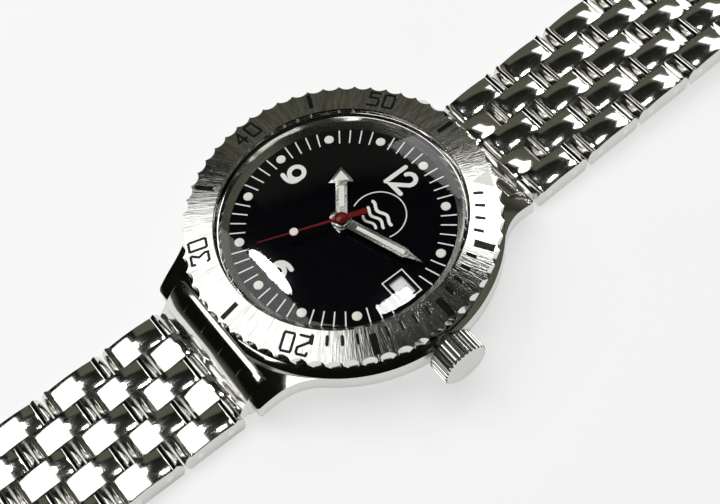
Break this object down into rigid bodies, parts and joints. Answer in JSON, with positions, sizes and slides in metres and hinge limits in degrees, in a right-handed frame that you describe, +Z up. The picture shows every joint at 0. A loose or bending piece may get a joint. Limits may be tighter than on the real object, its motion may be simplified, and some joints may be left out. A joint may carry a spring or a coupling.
{
  "type": "diver's wristwatch",
  "caption": "Steel automatic diver's wristwatch with a rotating fluted bezel, black dial, screw-down crown and a linked bracelet that lies open.",
  "frame": {"origin": "centre of the case back's flat outer face, on the dial's axis, where the watch rests", "axes": "+Z up out of the dial, +Y along the bracelet to the 12 o'clock side, +X to 3 o'clock where the crown is"},
  "size_m": [0.0438, 0.1791, 0.0139],
  "materials": {
    "case_steel": "polished and brushed stainless steel",
    "bezel_steel": "radially brushed stainless steel",
    "polished_steel": "mirror polished",
    "link_steel": "mirror polished links",
    "movement_steel": "fine satin",
    "movement_brass": "gilt and grained",
    "gasket_rubber": "matt",
    "crystal": "clear domed acrylic",
    "dial": "gloss black lacquer",
    "rehaut": "satin grey",
    "date_white": "matt white print base",
    "hand_steel": "polished",
    "seconds_red": "red lacquer"
  },
  "bodies": {
    "case": {"case_body": "case_steel", "case_back": "case_steel", "case_back_ring": "case_steel", "case_back_gasket": "gasket_rubber", "crown_tube": "case_steel", "crystal": "crystal", "tension_ring": "polished_steel", "rehaut_ring": "rehaut", "bezel_spring": "movement_steel", "dial": "dial", "movement_spacer": "movement_brass", "main_plate": "movement_brass", "train_bridge": "movement_brass", "balance_cock": "movement_brass", "bridge_screws": "movement_steel", "end_link_12": "polished_steel", "end_link_6": "polished_steel", "spring_bars": "case_steel"},
    "bezel": {"bezel": "bezel_steel"},
    "date_disc": {"date_disc": "date_white"},
    "hour": {"hour_hand": "hand_steel", "hour_wheel": "hand_steel"},
    "minute": {"minute_hand": "hand_steel", "cannon_pinion": "hand_steel"},
    "seconds": {"seconds_hand": "seconds_red", "seconds_wheel": "movement_brass"},
    "third_wheel": {"third_wheel": "movement_brass"},
    "barrel": {"mainspring_barrel": "movement_brass"},
    "escape_wheel": {"escape_wheel": "movement_steel"},
    "pallet_fork": {"pallet_fork": "movement_steel"},
    "balance": {"balance_wheel": "movement_brass", "hairspring": "movement_steel"},
    "rotor": {"rotor": "movement_brass"},
    "stem": {"winding_stem": "movement_steel"},
    "crown": {"crown": "polished_steel", "crown_gasket": "gasket_rubber"},
    "outer_12_1": {"outer_links_12_1": "link_steel"},
    "inner_12_1": {"inner_links_12_1": "link_steel"},
    "outer_12_2": {"outer_links_12_2": "link_steel"},
    "inner_12_2": {"inner_links_12_2": "link_steel"},
    "outer_12_3": {"outer_links_12_3": "link_steel"},
    "inner_12_3": {"inner_links_12_3": "link_steel"},
    "outer_12_4": {"outer_links_12_4": "link_steel"},
    "inner_12_4": {"inner_links_12_4": "link_steel"},
    "outer_12_5": {"outer_links_12_5": "link_steel"},
    "inner_12_5": {"inner_links_12_5": "link_steel"},
    "clasp_cover": {"clasp_cover": "case_steel", "clasp_cover_pins": "case_steel"},
    "clasp_first_blade": {"clasp_first_blade": "case_steel"},
    "clasp_second_blade": {"clasp_second_blade": "case_steel"},
    "outer_6_1": {"outer_links_6_1": "link_steel"},
    "inner_6_1": {"inner_links_6_1": "link_steel"},
    "outer_6_2": {"outer_links_6_2": "link_steel"},
    "inner_6_2": {"inner_links_6_2": "link_steel"},
    "outer_6_3": {"outer_links_6_3": "link_steel"},
    "inner_6_3": {"inner_links_6_3": "link_steel"},
    "outer_6_4": {"outer_links_6_4": "link_steel"},
    "inner_6_4": {"inner_links_6_4": "link_steel"},
    "outer_6_5": {"outer_links_6_5": "link_steel"},
    "inner_6_5": {"inner_links_6_5": "link_steel"}
  },
  "joints": [
    {"name": "bezel_turn", "type": "hinge", "parent": "case", "child": "bezel", "pos_m": [0, 0, 0.0105], "axis": [0, 0, 1], "continuous": true},
    {"name": "seconds_turn", "type": "hinge", "parent": "case", "child": "seconds", "pos_m": [0, 0, 0.01], "axis": [0, 0, -1], "continuous": true},
    {"name": "minute_turn", "type": "hinge", "parent": "case", "child": "minute", "pos_m": [0, 0, 0.01], "axis": [0, 0, -1], "continuous": true},
    {"name": "hour_turn", "type": "hinge", "parent": "case", "child": "hour", "pos_m": [0, 0, 0.01], "axis": [0, 0, -1], "continuous": true},
    {"name": "date_turn", "type": "hinge", "parent": "case", "child": "date_disc", "pos_m": [0, 0, 0.00965], "axis": [0, 0, -1], "continuous": true},
    {"name": "barrel_turn", "type": "hinge", "parent": "case", "child": "barrel", "pos_m": [-0.006, 0.0046, 0.007], "axis": [0, 0, -1], "continuous": true},
    {"name": "third_turn", "type": "hinge", "parent": "case", "child": "third_wheel", "pos_m": [0.0044, 0.0044, 0.007], "axis": [0, 0, -1], "continuous": true},
    {"name": "escape_turn", "type": "hinge", "parent": "case", "child": "escape_wheel", "pos_m": [0.005, -0.0026, 0.007], "axis": [0, 0, -1], "continuous": true},
    {"name": "fork_rock", "type": "hinge", "parent": "case", "child": "pallet_fork", "pos_m": [0.0022, -0.0049, 0.0072], "axis": [0, 0, 1], "range_deg": [-5, 5]},
    {"name": "balance_swing", "type": "hinge", "parent": "case", "child": "balance", "pos_m": [-0.0022, -0.0071, 0.0065], "axis": [0, 0, 1], "range_deg": [-270, 270], "stiffness_Nm_per_rad": 0.00000016},
    {"name": "rotor_turn", "type": "hinge", "parent": "case", "child": "rotor", "pos_m": [0, 0, 0.0044], "axis": [0, 0, 1], "continuous": true},
    {"name": "crown_pull", "type": "slide", "parent": "case", "child": "stem", "axis": [1, 0, 0], "range_m": [0, 0.0013]},
    {"name": "crown_turn", "type": "hinge", "parent": "stem", "child": "crown", "pos_m": [0.022, 0, 0.0072], "axis": [1, 0, 0], "continuous": true},
    {"name": "outer_12_1_hinge", "type": "hinge", "parent": "case", "child": "outer_12_1", "pos_m": [0, 0.0259, 0.00145], "axis": [-1, 0, 0], "range_deg": [-10, 14]},
    {"name": "inner_12_1_hinge", "type": "hinge", "parent": "outer_12_1", "child": "inner_12_1", "pos_m": [0, 0.03044, 0.00181], "axis": [-1, 0, 0], "range_deg": [-10, 14]},
    {"name": "outer_12_2_hinge", "type": "hinge", "parent": "inner_12_1", "child": "outer_12_2", "pos_m": [0, 0.03497, 0.00216], "axis": [-1, 0, 0], "range_deg": [-10, 14]},
    {"name": "inner_12_2_hinge", "type": "hinge", "parent": "outer_12_2", "child": "inner_12_2", "pos_m": [0, 0.03951, 0.00252], "axis": [-1, 0, 0], "range_deg": [-10, 14]},
    {"name": "outer_12_3_hinge", "type": "hinge", "parent": "inner_12_2", "child": "outer_12_3", "pos_m": [0, 0.04404, 0.00288], "axis": [-1, 0, 0], "range_deg": [-10, 14]},
    {"name": "inner_12_3_hinge", "type": "hinge", "parent": "outer_12_3", "child": "inner_12_3", "pos_m": [0, 0.04858, 0.00323], "axis": [-1, 0, 0], "range_deg": [-10, 14]},
    {"name": "outer_12_4_hinge", "type": "hinge", "parent": "inner_12_3", "child": "outer_12_4", "pos_m": [0, 0.05312, 0.00359], "axis": [-1, 0, 0], "range_deg": [-10, 14]},
    {"name": "inner_12_4_hinge", "type": "hinge", "parent": "outer_12_4", "child": "inner_12_4", "pos_m": [0, 0.05765, 0.00395], "axis": [-1, 0, 0], "range_deg": [-10, 14]},
    {"name": "outer_12_5_hinge", "type": "hinge", "parent": "inner_12_4", "child": "outer_12_5", "pos_m": [0, 0.06219, 0.00431], "axis": [-1, 0, 0], "range_deg": [-10, 14]},
    {"name": "inner_12_5_hinge", "type": "hinge", "parent": "outer_12_5", "child": "inner_12_5", "pos_m": [0, 0.06672, 0.00466], "axis": [-1, 0, 0], "range_deg": [-10, 14]},
    {"name": "clasp_hinge", "type": "hinge", "parent": "inner_12_5", "child": "clasp_cover", "pos_m": [0, 0.07126, 0.00502], "axis": [-1, 0, 0], "range_deg": [-10, 14]},
    {"name": "clasp_fold", "type": "hinge", "parent": "clasp_cover", "child": "clasp_first_blade", "pos_m": [0, 0.10426, 0.00422], "axis": [1, 0, 0], "range_deg": [0, 160]},
    {"name": "clasp_second_fold", "type": "hinge", "parent": "clasp_first_blade", "child": "clasp_second_blade", "pos_m": [0, 0.07586, 0.00257], "axis": [-1, 0, 0], "range_deg": [0, 135]},
    {"name": "outer_6_1_hinge", "type": "hinge", "parent": "case", "child": "outer_6_1", "pos_m": [0, -0.0259, 0.00145], "axis": [1, 0, 0], "range_deg": [-10, 14]},
    {"name": "inner_6_1_hinge", "type": "hinge", "parent": "outer_6_1", "child": "inner_6_1", "pos_m": [0, -0.03045, 0.00145], "axis": [1, 0, 0], "range_deg": [-10, 14]},
    {"name": "outer_6_2_hinge", "type": "hinge", "parent": "inner_6_1", "child": "outer_6_2", "pos_m": [0, -0.035, 0.00145], "axis": [1, 0, 0], "range_deg": [-10, 14]},
    {"name": "inner_6_2_hinge", "type": "hinge", "parent": "outer_6_2", "child": "inner_6_2", "pos_m": [0, -0.03955, 0.00145], "axis": [1, 0, 0], "range_deg": [-10, 14]},
    {"name": "outer_6_3_hinge", "type": "hinge", "parent": "inner_6_2", "child": "outer_6_3", "pos_m": [0, -0.0441, 0.00145], "axis": [1, 0, 0], "range_deg": [-10, 14]},
    {"name": "inner_6_3_hinge", "type": "hinge", "parent": "outer_6_3", "child": "inner_6_3", "pos_m": [0, -0.04865, 0.00145], "axis": [1, 0, 0], "range_deg": [-10, 14]},
    {"name": "outer_6_4_hinge", "type": "hinge", "parent": "inner_6_3", "child": "outer_6_4", "pos_m": [0, -0.0532, 0.00145], "axis": [1, 0, 0], "range_deg": [-10, 14]},
    {"name": "inner_6_4_hinge", "type": "hinge", "parent": "outer_6_4", "child": "inner_6_4", "pos_m": [0, -0.05775, 0.00145], "axis": [1, 0, 0], "range_deg": [-10, 14]},
    {"name": "outer_6_5_hinge", "type": "hinge", "parent": "inner_6_4", "child": "outer_6_5", "pos_m": [0, -0.0623, 0.00145], "axis": [1, 0, 0], "range_deg": [-10, 14]},
    {"name": "inner_6_5_hinge", "type": "hinge", "parent": "outer_6_5", "child": "inner_6_5", "pos_m": [0, -0.06685, 0.00145], "axis": [1, 0, 0], "range_deg": [-10, 14]}
  ],
  "couplings": [
    {"joint": "minute_turn", "follows": "seconds_turn", "ratio": 0.016667},
    {"joint": "hour_turn", "follows": "seconds_turn", "ratio": 0.0013889},
    {"joint": "third_turn", "follows": "seconds_turn", "ratio": -0.13333},
    {"joint": "barrel_turn", "follows": "seconds_turn", "ratio": -0.0029762},
    {"joint": "escape_turn", "follows": "seconds_turn", "ratio": -11}
  ]
}
